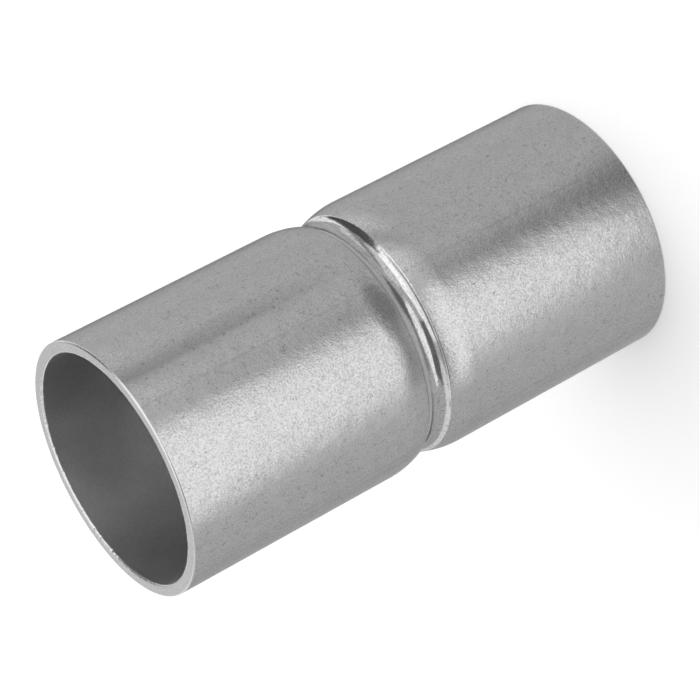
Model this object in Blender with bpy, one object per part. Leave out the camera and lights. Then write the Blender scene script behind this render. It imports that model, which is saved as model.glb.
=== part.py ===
"""Push-in coupling for steel conduit: one short thin-walled tube with a stop rolled into its middle.

The tube stands on its lower mouth. Z is its axis, and the origin is the centre of that mouth's cut face.
A conduit slides into either mouth until it meets the stop, which is the inside of the groove that a narrow
roller pressed into the tube from outside. All sizes are in metres.
"""

import math

import bmesh
import bpy

# The bore and the tube's wall
CONDUIT_DIAMETER = 0.0250
BORE_CLEARANCE = 0.0001
WALL = 0.0013

# How far each mouth is from the middle of the stop
UPPER_REACH = 0.03075
LOWER_REACH = 0.02945

# The groove outside: the roller's track, the crease at its edge and the barrel that bends down to it
TRACK_RADIUS = 0.00135
TRACK_DEPTH = 0.00082
CREASE_RADIUS = 0.0003
SHOULDER_RADIUS = 0.0092
SHOULDER_DROP = 0.0005

# The hollow on each side of the stop, where it runs out into the bore
STOP_FILLET = 0.0050

# The cut ends
RIM_ROUNDING = 0.0002
BORE_CHAMFER = 0.00015

# How finely round forms are divided
SEGMENTS = 80
ARC_STEP = math.radians(15)

# Galvanised steel
ZINC_COLOUR = (0.60, 0.60, 0.61, 1.0)
ZINC_ROUGHNESS = 0.42

# Edges that bend more than this stay sharp in the shading
SHARP_ANGLE = math.radians(35)

BORE_RADIUS = (CONDUIT_DIAMETER + BORE_CLEARANCE) / 2
BARREL_RADIUS = BORE_RADIUS + WALL
GROOVE_DEPTH = SHOULDER_DROP + TRACK_DEPTH


def arc(centre, radius, start, end):
    """Points of an arc about centre in the section's plane, from one angle above the radius axis to another."""
    steps = max(1, math.ceil(abs(end - start) / ARC_STEP))
    angles = [start + (end - start) * step / steps for step in range(steps + 1)]
    return [(centre[0] + radius * math.cos(angle), centre[1] + radius * math.sin(angle)) for angle in angles]


def beyond(centre, distance, angle):
    """The centre of an arc that meets another one smoothly: distance away, in the direction of angle."""
    return centre[0] + distance * math.cos(angle), centre[1] + distance * math.sin(angle)


def outer_half():
    """The outside of the groove from its bottom to the barrel, as three arcs that meet smoothly."""
    shoulder = math.acos(1 - SHOULDER_DROP / SHOULDER_RADIUS)
    flank = math.acos(
        (TRACK_RADIUS + CREASE_RADIUS * math.cos(shoulder) - TRACK_DEPTH) / (TRACK_RADIUS + CREASE_RADIUS)
    )
    track_centre = (BARREL_RADIUS - GROOVE_DEPTH + TRACK_RADIUS, 0.0)
    crease_centre = beyond(track_centre, TRACK_RADIUS + CREASE_RADIUS, math.pi - flank)
    shoulder_centre = beyond(crease_centre, SHOULDER_RADIUS - CREASE_RADIUS, math.pi - shoulder)
    track = arc(track_centre, TRACK_RADIUS, math.pi, math.pi - flank)
    crease = arc(crease_centre, CREASE_RADIUS, -flank, -shoulder)
    bend = arc(shoulder_centre, SHOULDER_RADIUS, -shoulder, 0.0)
    return track + crease[1:] + bend[1:]


def inner_half():
    """The stop from its crown to the bore. The crown keeps the tube's wall under the roller's track."""
    crown_radius = TRACK_RADIUS + WALL
    slope = math.acos(1 - GROOVE_DEPTH / (crown_radius + STOP_FILLET))
    crown_centre = (BORE_RADIUS - GROOVE_DEPTH + crown_radius, 0.0)
    fillet_centre = beyond(crown_centre, crown_radius + STOP_FILLET, math.pi - slope)
    crown = arc(crown_centre, crown_radius, math.pi, math.pi - slope)
    fillet = arc(fillet_centre, STOP_FILLET, -slope, 0.0)
    return crown + fillet[1:]


def rim(reach):
    """The cut end from the barrel to the bore: its outer edge is rounded and its inner edge is chamfered."""
    rounding_centre = (BARREL_RADIUS - RIM_ROUNDING, reach - RIM_ROUNDING)
    chamfer = [(BORE_RADIUS + BORE_CHAMFER, reach), (BORE_RADIUS, reach - BORE_CHAMFER)]
    return arc(rounding_centre, RIM_ROUNDING, 0.0, math.pi / 2) + chamfer


def half_section(reach):
    """One half of the wall's section, from the groove's bottom round the cut end to the stop's crown."""
    return outer_half() + rim(reach) + inner_half()[::-1]


def wall_section():
    """The closed outline of the wall, as (radius, height) points with height 0 at the lower mouth."""
    upper = half_section(UPPER_REACH)
    lower = [(radius, -height) for radius, height in half_section(LOWER_REACH)]
    outline = upper + lower[-2:0:-1]
    return [(radius, height + LOWER_REACH) for radius, height in outline]


def turned_mesh(name, outline):
    """The closed outline turned once round Z."""
    form = bmesh.new()
    points = [form.verts.new((radius, 0.0, height)) for radius, height in outline]
    edges = [form.edges.new(ends) for ends in zip(points, points[1:] + points[:1])]
    bmesh.ops.spin(
        form,
        geom=points + edges,
        cent=(0.0, 0.0, 0.0),
        axis=(0.0, 0.0, 1.0),
        angle=2 * math.pi,
        steps=SEGMENTS,
        use_merge=True,
    )
    bmesh.ops.recalc_face_normals(form, faces=form.faces)
    mesh = bpy.data.meshes.new(name)
    form.to_mesh(mesh)
    form.free()
    mesh.shade_smooth()
    mesh.set_sharp_from_angle(angle=SHARP_ANGLE)
    return mesh


def zinc():
    """Dull grey galvanised steel."""
    material = bpy.data.materials.new("galvanised_steel")
    material.use_nodes = True
    shader = material.node_tree.nodes["Principled BSDF"]
    shader.inputs["Base Color"].default_value = ZINC_COLOUR
    shader.inputs["Metallic"].default_value = 1.0
    shader.inputs["Roughness"].default_value = ZINC_ROUGHNESS
    return material


def coupling_sleeve():
    """The coupling, standing on its lower mouth."""
    mesh = turned_mesh("coupling_sleeve", wall_section())
    mesh.materials.append(zinc())
    sleeve = bpy.data.objects.new("coupling_sleeve", mesh)
    bpy.context.collection.objects.link(sleeve)
    return sleeve


def clear_scene():
    for thing in list(bpy.data.objects):
        bpy.data.objects.remove(thing)


clear_scene()
coupling_sleeve()
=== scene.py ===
"""Looks of a push-in conduit coupling: galvanised steel tube with a rolled, burnished groove.

The frame's solid is stood in for by a finer mesh with the same length, diameters, wall and stop. It has a
softer upper half of the groove, worn and nicked edges at the bores, the saw's marks on the cut faces, and a
slight slant of the upper one. Sizes are in metres. The tube's axis is Z, and the camera stands on the -Y
side. Angles round the tube start on that side and grow towards +X.
"""

import math

import bpy
import numpy as np
from mathutils import Matrix, Vector, noise

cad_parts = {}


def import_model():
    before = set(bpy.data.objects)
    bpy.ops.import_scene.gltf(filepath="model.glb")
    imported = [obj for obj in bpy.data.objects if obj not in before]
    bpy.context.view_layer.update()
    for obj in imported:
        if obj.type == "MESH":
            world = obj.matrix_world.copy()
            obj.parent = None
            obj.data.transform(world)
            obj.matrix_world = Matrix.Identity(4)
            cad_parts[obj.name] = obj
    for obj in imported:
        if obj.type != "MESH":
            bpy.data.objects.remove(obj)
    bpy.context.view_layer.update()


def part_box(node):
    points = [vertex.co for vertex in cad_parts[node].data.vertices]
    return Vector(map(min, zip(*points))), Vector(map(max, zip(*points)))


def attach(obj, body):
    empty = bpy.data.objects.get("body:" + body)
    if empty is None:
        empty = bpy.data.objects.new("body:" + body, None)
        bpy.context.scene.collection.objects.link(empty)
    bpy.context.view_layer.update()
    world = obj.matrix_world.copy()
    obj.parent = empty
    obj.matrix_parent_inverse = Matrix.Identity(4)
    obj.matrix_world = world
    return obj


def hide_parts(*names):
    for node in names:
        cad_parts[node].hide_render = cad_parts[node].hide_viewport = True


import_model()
NODE = "coupling_sleeve"
LOW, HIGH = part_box(NODE)
MIDDLE = (LOW + HIGH) / 2

# The tube, as the solid has it
BARREL_RADIUS = (HIGH.x - LOW.x) / 2
LENGTH = HIGH.z - LOW.z
WALL = 0.0013
BORE_RADIUS = BARREL_RADIUS - WALL
RIM_ROUNDING = 0.0002

# The groove outside: the roller's track, the crease at its edge and the barrel that bends down to it
STOP_HEIGHT = 0.02945
TRACK_RADIUS = 0.00135
TRACK_DEPTH = 0.00082
CREASE_RADIUS = 0.0003
SHOULDER_RADIUS = 0.0092
SHOULDER_DROP = 0.0005
GROOVE_DEPTH = SHOULDER_DROP + TRACK_DEPTH

# The groove's upper half, which is softer than the solid's
UPPER_TRACK_RADIUS = 0.0019
UPPER_CREASE_RADIUS = 0.0006

# The hollow on each side of the stop, where it runs out into the bore
STOP_FILLET = 0.0050

# The rounding of the bores' edges: its width on the cut face, and its depth as a share of its width
BORE_ROUNDING = 0.00034
BORE_FLATNESS = 0.55

# How that rounding is wider and flatter on the side where it is most worn
WORN_WIDTH = 0.00025
WORN_RISE = 0.00007
WORN_SIDE = math.radians(-175)

# The burr that changes the rounding's width by a share, and the nicks, with the share of their depth that
# they keep where the edge isn't worn
BURR_CHANGE = 0.1
BURR_SPACING = 0.0012
NICK_DEPTH = 0.0003
NICK_SPACING = 0.00024
NICKS_UNWORN = 0.25

# The saw's marks on the cut faces
SAW_DEPTH = 0.000018
SAW_SPACING = 0.0022

# Which noise each of them follows at the upper mouth. At the lower mouth it is the next one
BURR_NOISE = 10
NICK_NOISE = 20
SAW_NOISE = 30

# How far the upper mouth's cut is out of square, and the side where it is lowest
SLANT = 0.00027
SLANT_SIDE = math.radians(63)

# How finely the mesh is divided, and how far inside each bore's edge a ring keeps the shading even
AROUND = 620
TRACK_STEP = math.radians(4.5)
CREASE_STEP = math.radians(2.6)
BEND_STEP = math.radians(2.0)
EDGE_STEP = math.radians(10.0)
STOP_STEP = math.radians(8.0)
FACE_RINGS = 5
BARREL_RINGS = 2
EDGE_MARGIN = 0.00005

# The finishes in the order of the mesh's material slots, and the columns of a section's rows
SKIN, CUT, BORE = range(3)
RADIUS, HEIGHT, GROW_OUT, GROW_UP, FACE, SLOT = range(6)

# The photograph's frame and where its camera stands. The sensor is in millimetres
PHOTO_PIXELS = 700
FOCAL_PIXELS = 3124.0
SENSOR = 36.0
CAMERA_ELEVATION = math.radians(26.365)
CAMERA_ROLL = math.radians(117.862)
CAMERA_DISTANCE = 0.31916
CENTRE_RIGHT = 0.00049
CENTRE_UP = 0.00078
CLIP_START = 0.01
CLIP_END = 10.0

# Studio: how far the lamps and cards are from the coupling's middle, the floor's half side, colour and glow,
# and the world's strength as a fill light
LAMP_DISTANCE = 0.6
CARD_DISTANCE = 0.5
FLOOR_HALF = 2.0
FLOOR_COLOUR = 0.8
FLOOR_GLOW = 0.2
FILL = 0.2


def arc(centre, radius, start, end, step):
    """Points of an arc about centre in the section's plane, as (radius, height) rows."""
    count = max(1, math.ceil(abs(end - start) / step)) + 1
    angles = np.linspace(start, end, count)
    return np.column_stack((centre[0] + radius * np.cos(angles), centre[1] + radius * np.sin(angles)))


def beyond(centre, distance, angle):
    """The centre of an arc that meets another one smoothly: distance away, in the direction of angle."""
    return centre[0] + distance * math.cos(angle), centre[1] + distance * math.sin(angle)


def straight(start, end, count):
    """Points strictly between start and end, spaced evenly."""
    share = np.linspace(0, 1, count + 2)[1:-1, None]
    return np.array(start) * (1 - share) + np.array(end) * share


def groove_half(track_radius, crease_radius):
    """The outside from the groove's bottom to the barrel, as three arcs that meet smoothly."""
    shoulder = math.acos(1 - SHOULDER_DROP / SHOULDER_RADIUS)
    flank = math.acos(
        (track_radius + crease_radius * math.cos(shoulder) - TRACK_DEPTH) / (track_radius + crease_radius)
    )
    track_centre = (BARREL_RADIUS - GROOVE_DEPTH + track_radius, 0.0)
    crease_centre = beyond(track_centre, track_radius + crease_radius, math.pi - flank)
    shoulder_centre = beyond(crease_centre, SHOULDER_RADIUS - crease_radius, math.pi - shoulder)
    track = arc(track_centre, track_radius, math.pi, math.pi - flank, TRACK_STEP)
    crease = arc(crease_centre, crease_radius, -flank, -shoulder, CREASE_STEP)
    bend = arc(shoulder_centre, SHOULDER_RADIUS, -shoulder, 0.0, BEND_STEP)
    return np.vstack((track, crease[1:], bend[1:]))


def stop_half():
    """The inside from the bore to the stop's crown."""
    crown_radius = TRACK_RADIUS + WALL
    slope = math.acos(1 - GROOVE_DEPTH / (crown_radius + STOP_FILLET))
    crown_centre = (BORE_RADIUS - GROOVE_DEPTH + crown_radius, 0.0)
    fillet_centre = beyond(crown_centre, crown_radius + STOP_FILLET, math.pi - slope)
    crown = arc(crown_centre, crown_radius, math.pi, math.pi - slope, STOP_STEP)
    fillet = arc(fillet_centre, STOP_FILLET, -slope, 0.0, STOP_STEP)
    return np.vstack((crown, fillet[1:]))[::-1]


def rounding(corner, width, flatness, outward, start, end):
    """The points of an edge's rounding, and how each moves as the rounding widens. It touches the two faces
    that meet at corner, and its depth is flatness times its width. outward is 1 at the barrel and -1 at the
    bore."""
    unit = arc((0.0, 0.0), 1.0, start, end, EDGE_STEP)
    growth = (unit - (outward, 1.0)) * (1.0, flatness)
    return corner + width * growth, growth


def half_section(reach, track_radius, crease_radius):
    """Half of the wall's section, from the groove's bottom round a mouth to the stop's crown, with heights
    above the groove's middle. A row holds a point's radius and height, how it moves outward and upward as
    the bore's rounding widens, its share in the saw's marks, and the finish of the strip that starts
    there."""
    outside = groove_half(track_radius, crease_radius)
    inside = stop_half()
    outer_edge, _ = rounding((BARREL_RADIUS, reach), RIM_ROUNDING, 1, 1, 0, math.pi / 2)
    inner_edge, growth = rounding(
        (BORE_RADIUS, reach), BORE_ROUNDING, BORE_FLATNESS, -1, math.pi / 2, math.pi
    )
    face = straight(outer_edge[-1], inner_edge[0], FACE_RINGS)
    still = np.zeros((1, 2))
    face_growth = straight(still[0], growth[0], FACE_RINGS)
    pieces = (
        (outside, still, 0, SKIN),
        (straight(outside[-1], outer_edge[0], BARREL_RINGS), still, 0, SKIN),
        (outer_edge, still, 0, CUT),
        (face, face_growth, 1, CUT),
        (inner_edge[:-1], growth[:-1], 0, CUT),
        (inner_edge[-1:], growth[-1:], 0, BORE),
        (inner_edge[-1:] - (0, EDGE_MARGIN), growth[-1:], 0, BORE),
        (straight(inner_edge[-1], inside[0], BARREL_RINGS), still, 0, BORE),
        (inside, still, 0, BORE),
    )
    rows = []
    for points, growths, sawn, slot in pieces:
        count = len(points)
        growths = np.broadcast_to(growths, (count, 2))
        rows.append(np.hstack((points, growths, np.full((count, 2), (sawn, slot)))))
    return np.vstack(rows)


def wall_section():
    """The wall's closed section in half_section's columns, with heights above the lower mouth. The lower
    half is mirrored and runs back, so its finishes shift by a row."""
    upper = half_section(LENGTH - STOP_HEIGHT, UPPER_TRACK_RADIUS, UPPER_CREASE_RADIUS)
    lower = half_section(STOP_HEIGHT, TRACK_RADIUS, CREASE_RADIUS)
    slots = np.concatenate((upper[:-1, SLOT], lower[-2::-1, SLOT]))
    lower[:, (HEIGHT, GROW_UP, FACE)] *= -1
    section = np.vstack((upper, lower[-2:0:-1]))
    section[:, HEIGHT] += STOP_HEIGHT
    section[:, SLOT] = slots
    return section


def unevenness(angles, spacing, number):
    """Smooth noise between -1 and 1 round the bore. Each number gives another noise."""
    turns = BORE_RADIUS / spacing
    places = [Vector((turns * math.sin(angle), turns * math.cos(angle), number)) for angle in angles]
    return np.clip([2 * noise.noise(place) for place in places], -1, 1)


def marked(section, angles):
    """The section's radii and heights at each angle, with the wear, burr and nicks of the bores' edges, the
    saw's marks on the cut faces and the slant of the upper one."""
    radius = np.tile(section[:, RADIUS], (AROUND, 1))
    height = np.tile(section[:, HEIGHT], (AROUND, 1))
    above = section[:, HEIGHT] > STOP_HEIGHT
    worn = np.maximum(np.cos(angles - WORN_SIDE), 0) ** 2
    for mouth, half in enumerate((above, ~above)):
        outward = section[:, GROW_OUT] * half
        upward = section[:, GROW_UP] * half
        burr = unevenness(angles, BURR_SPACING, BURR_NOISE + mouth) * BORE_ROUNDING * BURR_CHANGE
        nicks = np.maximum(unevenness(angles, NICK_SPACING, NICK_NOISE + mouth), 0) ** 2
        nicks *= NICK_DEPTH * (NICKS_UNWORN + (1 - NICKS_UNWORN) * worn)
        saw = (1 + unevenness(angles, SAW_SPACING, SAW_NOISE + mouth)) / 2 * SAW_DEPTH
        radius += np.outer(burr + nicks, outward)
        height += np.outer(burr + nicks, upward)
        radius += np.outer(worn, outward) * WORN_WIDTH
        height -= np.outer(worn, upward) * WORN_RISE
        height -= np.outer(saw, section[:, FACE] * half)
    share = np.maximum(section[:, HEIGHT] - STOP_HEIGHT, 0) / (LENGTH - STOP_HEIGHT)
    height -= np.outer((1 + np.cos(angles - SLANT_SIDE)) / 2 * SLANT, share)
    return radius, height


def turned_faces(rings):
    """The corners of each face between two turns and two rings, which both run on to their first."""
    turn, ring = np.meshgrid(np.arange(AROUND), np.arange(rings), indexing="ij")
    here = turn * rings
    there = (turn + 1) % AROUND * rings
    after = (ring + 1) % rings
    corners = (here + ring, there + ring, there + after, here + after)
    return np.stack(corners, axis=-1).reshape(-1, 4)


def sleeve():
    """The tube as a turned mesh, with the finishes that its section names."""
    section = wall_section()
    angles = np.linspace(0, 2 * math.pi, AROUND, endpoint=False)
    radius, height = marked(section, angles)
    places = np.stack(
        (np.sin(angles)[:, None] * radius, -np.cos(angles)[:, None] * radius, height), axis=-1
    )
    mesh = bpy.data.meshes.new("sleeve")
    mesh.from_pydata(places.reshape(-1, 3).tolist(), [], turned_faces(len(section)).tolist())
    mesh.update()
    mesh.polygons.foreach_set("material_index", np.tile(section[:, SLOT], AROUND).astype(np.int32))
    mesh.shade_smooth()
    piece = bpy.data.objects.new("sleeve", mesh)
    bpy.context.scene.collection.objects.link(piece)
    return piece


# What a value's span is mapped onto: it rises or falls over the span
RISE = (0.0, 1.0)
FALL = (1.0, 0.0)

# A noise's middle value, and the span that most of it lies in
NOISE_MIDDLE = 0.5
NOISE_SPAN = (0.3, 0.7)


class Finish:
    """A metal whose colour, roughness and relief come from its nodes."""

    def __init__(self, name):
        self.material = bpy.data.materials.new(name)
        self.material.use_nodes = True
        self.tree = self.material.node_tree
        self.shader = self.tree.nodes["Principled BSDF"]
        self.shader.inputs["Metallic"].default_value = 1.0
        self.place = self.node("ShaderNodeTexCoord").outputs["Object"]
        self.relief = None

    def node(self, kind, inputs=(), **settings):
        node = self.tree.nodes.new(kind)
        for setting, value in settings.items():
            setattr(node, setting, value)
        for socket, value in dict(inputs).items():
            if isinstance(value, bpy.types.NodeSocket):
                self.tree.links.new(value, node.inputs[socket])
            else:
                node.inputs[socket].default_value = value
        return node

    def maths(self, operation, *values):
        return self.node("ShaderNodeMath", enumerate(values), operation=operation).outputs[0]

    def times(self, value, factor):
        return self.maths("MULTIPLY", value, factor)

    def plus(self, base, value, factor):
        """base plus factor times value."""
        return self.maths("MULTIPLY_ADD", value, factor, base)

    def scaled(self, scale):
        """The place on the part with its three coordinates scaled, which squeezes a noise."""
        inputs = {0: self.place, 1: scale}
        return self.node("ShaderNodeVectorMath", inputs, operation="MULTIPLY").outputs[0]

    def moved(self, distance):
        """The place on the part, shifted so that a second noise doesn't repeat the first."""
        inputs = {0: self.place, 1: (distance, 2 * distance, 3 * distance)}
        return self.node("ShaderNodeVectorMath", inputs, operation="ADD").outputs[0]

    def noise(self, size, detail=2.0, roughness=0.5, place=None):
        """Noise whose grains are size metres across."""
        place = place or self.place
        inputs = {"Vector": place, "Scale": 1 / size, "Detail": detail, "Roughness": roughness}
        return self.node("ShaderNodeTexNoise", inputs).outputs["Fac"]

    def ranged(self, value, span, onto=RISE):
        """value mapped from the span's two ends onto two others, and held there beyond."""
        ends = {"From Min": span[0], "From Max": span[1], "To Min": onto[0], "To Max": onto[1]}
        return self.node("ShaderNodeMapRange", {"Value": value, **ends}).outputs["Result"]

    def band(self, value, rise, fall):
        """A band of value that fades in over the span of rise and out over the span of fall."""
        return self.times(self.ranged(value, rise), self.ranged(value, fall, FALL))

    def streak(self, turn, middle, before, after):
        """A mark along the tube at a middle angle, which fades out over the angles before and after it, all
        in degrees."""
        start, top, end = (math.radians(angle) for angle in (middle - before, middle, middle + after))
        return self.band(turn, (start, top), (top, end))

    def emboss(self, height, depth):
        """Adds relief: height from 0 to 1 stands for depth metres."""
        inputs = {"Height": height, "Distance": depth, "Strength": 1.0}
        if self.relief is not None:
            inputs["Normal"] = self.relief
        self.relief = self.node("ShaderNodeBump", inputs).outputs["Normal"]
        self.drive("Normal", self.relief)

    def drive(self, socket, value):
        self.tree.links.new(value, self.shader.inputs[socket])

    def grey(self, level):
        """Links the base colour to a grey of this level."""
        colour = self.node("ShaderNodeCombineColor", enumerate((level, level, level)))
        self.drive("Base Color", colour.outputs[0])


# The zinc: how wide its grains, swells and blotches are, and how far the later noises are shifted
GRAIN = 0.00021
TINT_GRAIN = GRAIN * 0.9
SWELL = 0.0016
BLOTCH = 0.0014
TINT_SHIFT = 0.05
BLOTCH_SHIFT = 0.13
TINT_SPAN = (0.3, 0.6)
GRAIN_DEPTH = 0.0000125
SWELL_DEPTH = 0.00004

# Its flecks: curls along the middle of one noise, in the patches where another one is high
FLECK_CURL = 0.0004
FLECK_SHIFT = 0.09
FLECK_WIDTH = 0.04
FLECK_PATCH = 0.0006
FLECK_PATCH_SPAN = (0.55, 0.65)

# Darker streaks along the barrel at set angles, in degrees round it: a wide one above the groove, and
# fainter thin ones
WIDE_STREAK = 29.5
WIDE_STREAK_BEFORE = 2.5
WIDE_STREAK_AFTER = 9.0
WIDE_STREAK_START = (0.004, 0.016)
THIN_STREAKS = (-67.6, -63.0, 16.6)
THIN_STREAK_SPREAD = 0.9
THIN_STREAK_SHARE = 0.5

# Where the burnished track gives way to a scuffed strip and that to the plain skin, in heights above the
# groove's middle, and how far below the barrel the burnish starts
TRACK_TOP = (0.0004, 0.0008)
SCUFF_TOP = (0.0013, 0.0017)
TRACK_RIM = (SHOULDER_DROP, SHOULDER_DROP + 0.0001)

# Painted shade: a dark line in the crease at the track's lower edge, only on the side that faces the camera:
# its height, how far it reaches up and down, and how many degrees it reaches to each side
CREASE_SHADE_HEIGHT = -0.0012
CREASE_SHADE_REACH = 0.0002
CREASE_SHADE_TURN = 28

# Lines that the roller left round the track: their noise is squeezed along the tube
LINE_SIZE = 0.0016
LINE_SQUEEZE = (1, 1, 14)
LINE_SPAN = (0.35, 0.65)
DARK_LINE_SPAN = (0.56, 0.68)

# The skin's roughness, and how much rougher the scuffed strip is
DULL_ROUGHNESS = (0.40, 0.25)
POLISHED_ROUGHNESS = (0.10, 0.21)
SCUFF_ROUGHNESS = 0.2

# How the zinc's tint, blotches, flecks and lines, the darker streaks along the barrel and the painted shade
# in the crease shade the skin, the greys that the whole span of shades is mapped onto, how much painted
# light lightens the scuffed strip in the groove's shaded near wall, and how much of the sheen at glancing
# angles the zinc keeps
BLOTCH_SHADE = (-0.15, 0.15)
FLECK_SHADE = -2.0
STREAK_SHADE = -0.85
CREASE_SHADE_STRENGTH = -1.6
LINE_SHADE = -1.2
SHADE_SPAN = (-2.0, 3.0)
SKIN_GREY = (0.127, 0.527)
SCUFF_PAINTED_LIGHT = 0.27
SKIN_SHEEN = 0.6


def flecks(finish):
    """1 on the zinc's dark flecks."""
    curl = finish.noise(FLECK_CURL, detail=1.0, place=finish.moved(FLECK_SHIFT))
    away = finish.maths("ABSOLUTE", finish.maths("SUBTRACT", curl, NOISE_MIDDLE))
    patch = finish.ranged(finish.noise(FLECK_PATCH), FLECK_PATCH_SPAN)
    return finish.times(finish.ranged(away, (0.0, FLECK_WIDTH), FALL), patch)


def round_tube(finish):
    """A place's angle round the tube, height above the groove's middle and depth below the barrel."""
    axes = finish.node("ShaderNodeSeparateXYZ", {"Vector": finish.place}).outputs
    squares = (finish.times(axes[name], axes[name]) for name in ("X", "Y"))
    radius = finish.maths("SQRT", finish.maths("ADD", *squares))
    turn = finish.maths("ARCTAN2", axes["X"], finish.times(axes["Y"], -1.0))
    height = finish.maths("SUBTRACT", axes["Z"], STOP_HEIGHT)
    return turn, height, finish.maths("SUBTRACT", BARREL_RADIUS, radius)


def dark_streaks(finish, turn, height):
    """How strongly the darker streaks along the barrel show, at set angles round it."""
    wide = finish.streak(turn, WIDE_STREAK, WIDE_STREAK_BEFORE, WIDE_STREAK_AFTER)
    shown = finish.times(wide, finish.ranged(height, WIDE_STREAK_START))
    for middle in THIN_STREAKS:
        thin = finish.streak(turn, middle, THIN_STREAK_SPREAD, THIN_STREAK_SPREAD)
        shown = finish.plus(shown, thin, THIN_STREAK_SHARE)
    return shown


def painted_crease_shade(finish, turn, height):
    """How strongly the painted shade shows: a dark line in the crease at the track's lower edge, on the
    camera's side.
    """
    line = finish.band(height, (CREASE_SHADE_HEIGHT - CREASE_SHADE_REACH, CREASE_SHADE_HEIGHT), (CREASE_SHADE_HEIGHT, CREASE_SHADE_HEIGHT + CREASE_SHADE_REACH))
    return finish.times(line, finish.streak(turn, 0, CREASE_SHADE_TURN, CREASE_SHADE_TURN))


def skin():
    """Galvanised steel: zinc grain, dark flecks, and the roller's burnished track beside a scuffed strip,
    with painted shade in the track's lower crease and painted light on the scuffed strip.
    """
    finish = Finish("galvanised_skin")
    turn, height, depth = round_tube(finish)
    track = finish.times(finish.ranged(depth, TRACK_RIM), finish.ranged(height, TRACK_TOP, FALL))
    scuff_and_painted_light = finish.band(height, TRACK_TOP, SCUFF_TOP)
    tint = finish.noise(TINT_GRAIN, place=finish.moved(TINT_SHIFT))
    blotch = finish.noise(BLOTCH, place=finish.moved(BLOTCH_SHIFT))
    lines = finish.noise(LINE_SIZE, detail=3.0, roughness=0.6, place=finish.scaled(LINE_SQUEEZE))

    dull = finish.plus(finish.ranged(tint, TINT_SPAN, DULL_ROUGHNESS), scuff_and_painted_light, SCUFF_ROUGHNESS)
    polished = finish.ranged(lines, LINE_SPAN, POLISHED_ROUGHNESS)
    finish.drive("Roughness", finish.plus(dull, track, finish.maths("SUBTRACT", polished, dull)))

    shade = finish.ranged(blotch, NOISE_SPAN, BLOTCH_SHADE)
    shade = finish.maths("ADD", finish.ranged(tint, TINT_SPAN), shade)
    shade = finish.plus(shade, flecks(finish), FLECK_SHADE)
    shade = finish.plus(shade, dark_streaks(finish, turn, height), STREAK_SHADE)
    # Painted shade: the dark line in the crease at the track's lower edge darkens the grey
    shade = finish.plus(shade, painted_crease_shade(finish, turn, height), CREASE_SHADE_STRENGTH)
    dark_lines = finish.times(finish.ranged(lines, DARK_LINE_SPAN), finish.maths("ADD", track, scuff_and_painted_light))
    shade = finish.plus(shade, dark_lines, LINE_SHADE)
    # Painted light: the grey is lifted on the scuffed strip in the groove's shaded near wall, where the
    # strip is also rougher
    finish.grey(finish.plus(finish.ranged(shade, SHADE_SPAN, SKIN_GREY), scuff_and_painted_light, SCUFF_PAINTED_LIGHT))
    finish.shader.inputs["Specular Tint"].default_value = (SKIN_SHEEN, SKIN_SHEEN, SKIN_SHEEN, 1)

    # The track has no grain and half of the swells
    swell = finish.times(finish.noise(SWELL), finish.plus(1.0, track, -0.5))
    grain = finish.times(finish.noise(GRAIN, detail=1.0), finish.maths("SUBTRACT", 1.0, track))
    finish.emboss(swell, SWELL_DEPTH)
    finish.emboss(grain, GRAIN_DEPTH)
    return finish.material


# The sawn ends
SPECK = 0.00016
SPECK_DEPTH = 0.000006
SAW_STREAK = 0.0012
CUT_GREY = (0.34, 0.42)
CUT_ROUGHNESS = (0.22, 0.34)


def cut():
    """The sawn ends: lighter bare steel with fine specks."""
    finish = Finish("cut_face")
    speck = finish.noise(SPECK, roughness=0.6)
    finish.grey(finish.ranged(finish.noise(SAW_STREAK), RISE, CUT_GREY))
    finish.drive("Roughness", finish.ranged(speck, NOISE_SPAN, CUT_ROUGHNESS))
    finish.emboss(speck, SPECK_DEPTH)
    return finish.material


# The inside of the tube
BORE_GRAIN = 0.0003
BORE_GRAIN_DEPTH = 0.000003
BORE_BLOTCH = 0.005
BORE_GREY = (0.45, 0.84)
BORE_METALLIC = 0.98
BORE_ROUGHNESS = (0.28, 0.31)


def bore():
    """The inside: mottled steel that the light reaches only through the mouths."""
    finish = Finish("bore")
    grain = finish.noise(BORE_GRAIN)
    blotch = finish.noise(BORE_BLOTCH)
    mottle = finish.times(finish.maths("ADD", grain, blotch), 0.5)
    finish.grey(finish.ranged(mottle, RISE, BORE_GREY))
    finish.shader.inputs["Metallic"].default_value = BORE_METALLIC
    finish.drive("Roughness", finish.ranged(blotch, NOISE_SPAN, BORE_ROUGHNESS))
    finish.emboss(grain, BORE_GRAIN_DEPTH)
    return finish.material


def camera():
    """The camera, rolled as the photograph is, so that the standing tube lies across the picture."""
    back = Vector((0, -math.cos(CAMERA_ELEVATION), math.sin(CAMERA_ELEVATION)))
    level = Vector((1, 0, 0))
    roll = Matrix.Rotation(CAMERA_ROLL, 3, back).inverted()
    right = roll @ level
    up = roll @ back.cross(level)
    data = bpy.data.cameras.new("camera")
    data.sensor_width = SENSOR
    data.lens = SENSOR * FOCAL_PIXELS / PHOTO_PIXELS
    data.clip_start = CLIP_START
    data.clip_end = CLIP_END
    viewer = bpy.data.objects.new("camera", data)
    place = MIDDLE + back * CAMERA_DISTANCE - right * CENTRE_RIGHT - up * CENTRE_UP
    viewer.matrix_world = Matrix.Translation(place) @ Matrix((right, up, back)).transposed().to_4x4()
    bpy.context.scene.collection.objects.link(viewer)
    bpy.context.scene.camera = viewer
    return viewer


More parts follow.
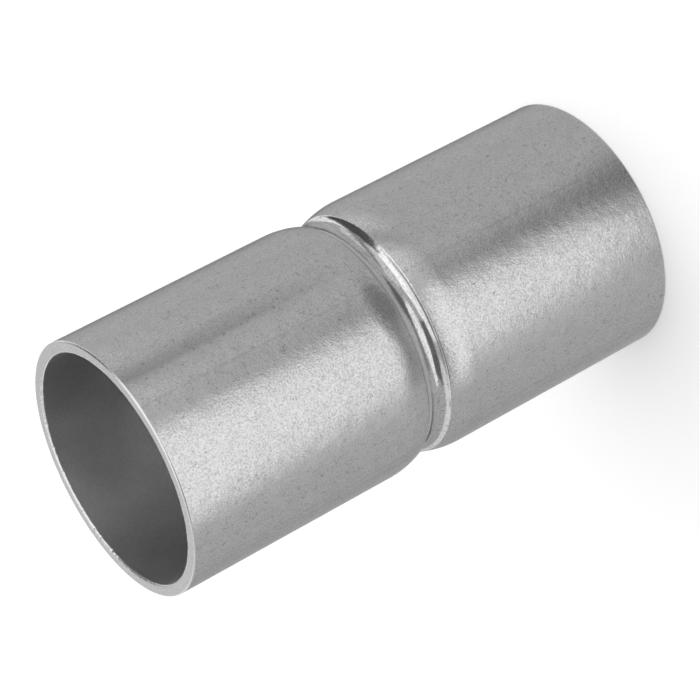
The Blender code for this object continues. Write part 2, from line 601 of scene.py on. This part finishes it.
def panel_pose(azimuth, elevation, roll, distance):
    """The pose of a panel that faces the coupling's middle from this far away. Its azimuth starts at the
    camera's side and grows towards +X, and all three angles are in degrees."""
    azimuth, elevation, roll = (math.radians(angle) for angle in (azimuth, elevation, roll))
    flat = math.cos(elevation)
    out = Vector((flat * math.sin(azimuth), -flat * math.cos(azimuth), math.sin(elevation)))
    level = Vector((math.cos(azimuth), math.sin(azimuth), 0))
    up = math.cos(roll) * out.cross(level) - math.sin(roll) * level
    axes = Matrix((up.cross(out), up, out)).transposed().to_4x4()
    return Matrix.Translation(MIDDLE + out * distance) @ axes


def lamp(name, azimuth, elevation, half_width, half_height, roll, level):
    """A soft panel lamp. It spans the given half angles, in degrees, and looks white at a level of 1."""
    width = 2 * LAMP_DISTANCE * math.tan(math.radians(half_width))
    height = 2 * LAMP_DISTANCE * math.tan(math.radians(half_height))
    data = bpy.data.lights.new(name, "AREA")
    data.shape = "RECTANGLE"
    data.size = width
    data.size_y = height
    data.energy = level * math.pi * width * height
    panel = bpy.data.objects.new(name, data)
    panel.matrix_world = panel_pose(azimuth, elevation, roll, LAMP_DISTANCE)
    panel.visible_camera = False
    bpy.context.scene.collection.objects.link(panel)
    return panel


def plane(name, half_width, half_height):
    """A flat sheet of the studio."""
    mesh = bpy.data.meshes.new(name)
    corners = [
        (-half_width, -half_height, 0),
        (half_width, -half_height, 0),
        (half_width, half_height, 0),
        (-half_width, half_height, 0),
    ]
    mesh.from_pydata(corners, [], [(0, 1, 2, 3)])
    sheet = bpy.data.objects.new(name, mesh)
    bpy.context.scene.collection.objects.link(sheet)
    return sheet


def card(name, azimuth, elevation, half_width, half_height, roll, level):
    """A card that only the metal's reflections show. It spans the given half angles, in degrees, and looks
    white at a level of 1."""
    width = CARD_DISTANCE * math.tan(math.radians(half_width))
    height = CARD_DISTANCE * math.tan(math.radians(half_height))
    sheet = plane(name, width, height)
    sheet.matrix_world = panel_pose(azimuth, elevation, roll, CARD_DISTANCE)
    sheet.visible_camera = False
    sheet.visible_diffuse = False
    sheet.visible_shadow = False
    material = bpy.data.materials.new(name)
    material.use_nodes = True
    nodes = material.node_tree.nodes
    glow = nodes.new("ShaderNodeEmission")
    glow.inputs["Color"].default_value = (level, level, level, 1)
    material.node_tree.links.new(glow.outputs[0], nodes["Material Output"].inputs["Surface"])
    sheet.data.materials.append(material)
    return sheet


def seen_directly(tree):
    """1 for a ray from the camera or one that metal or glass sends on, and 0 for other light."""
    path = tree.nodes.new("ShaderNodeLightPath").outputs
    either = path["Is Camera Ray"]
    for other in ("Is Glossy Ray", "Is Transmission Ray"):
        both = tree.nodes.new("ShaderNodeMath")
        both.operation = "MAXIMUM"
        tree.links.new(either, both.inputs[0])
        tree.links.new(path[other], both.inputs[1])
        either = both.outputs[0]
    return either


def floor():
    """A translucent white table, lit from below as well. The metal shows the lamps and cards under it."""
    sheet = plane("floor", FLOOR_HALF, FLOOR_HALF)
    sheet.visible_glossy = False
    sheet.visible_shadow = False
    material = bpy.data.materials.new("floor")
    material.use_nodes = True
    tree = material.node_tree
    shader = tree.nodes["Principled BSDF"]
    shader.inputs["Base Color"].default_value = (FLOOR_COLOUR, FLOOR_COLOUR, FLOOR_COLOUR, 1)
    shader.inputs["Roughness"].default_value = 1.0
    shader.inputs["Specular IOR Level"].default_value = 0.0
    shader.inputs["Emission Color"].default_value = (1, 1, 1, 1)
    level = tree.nodes.new("ShaderNodeMath")
    level.operation = "MULTIPLY"
    level.inputs[1].default_value = FLOOR_GLOW
    tree.links.new(seen_directly(tree), level.inputs[0])
    tree.links.new(level.outputs[0], shader.inputs["Emission Strength"])
    sheet.data.materials.append(material)
    return sheet


def world():
    """White where it is seen, and a soft fill for the light that falls on the floor."""
    studio = bpy.data.worlds.new("studio")
    studio.use_nodes = True
    bpy.context.scene.world = studio
    tree = studio.node_tree
    background = tree.nodes["Background"]
    background.inputs["Color"].default_value = (1, 1, 1, 1)
    level = tree.nodes.new("ShaderNodeMapRange")
    level.inputs["To Min"].default_value = FILL
    level.inputs["To Max"].default_value = 1.0
    tree.links.new(seen_directly(tree), level.inputs["Value"])
    tree.links.new(level.outputs[0], background.inputs["Strength"])


tube = sleeve()
for material in (skin(), cut(), bore()):
    tube.data.materials.append(material)
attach(tube, "root")
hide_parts(NODE)
floor()
world()

# Azimuth, elevation, half width, half height and roll, all in degrees, and level
lamp("key", 110, 64, 64, 42, -33, 1.3)
lamp("key_front", 67, 23, 43, 40, 4, 0.55)
lamp("low_front", -29, -11, 39, 25, -20, 1.2)
lamp("back", -136, 31, 56, 16, 38, 0.75)
card("card_left", -41, 25, 27, 20, 17, 0.3)
card("card_back", 118, 39, 37, 18, 8, 0.15)
card("card_end", 178, 26, 24, 14, 0, 1.05)
card("card_low", 16, -47, 17, 19, 43, 0.3)
card("card_right", 78, 6, 9, 36, -46, 0.65)
card("card_under", -29, -51, 26, 10, 8, 0.5)
card("card_edge", 161, -26, 8, 26, 0, 0.4)
card("card_side", 132, -26, 16, 26, 0, 1.2)
card("card_rear", -134, -26, 20, 26, 0, 1.05)

camera()
bpy.context.scene.view_settings.view_transform = "Standard"
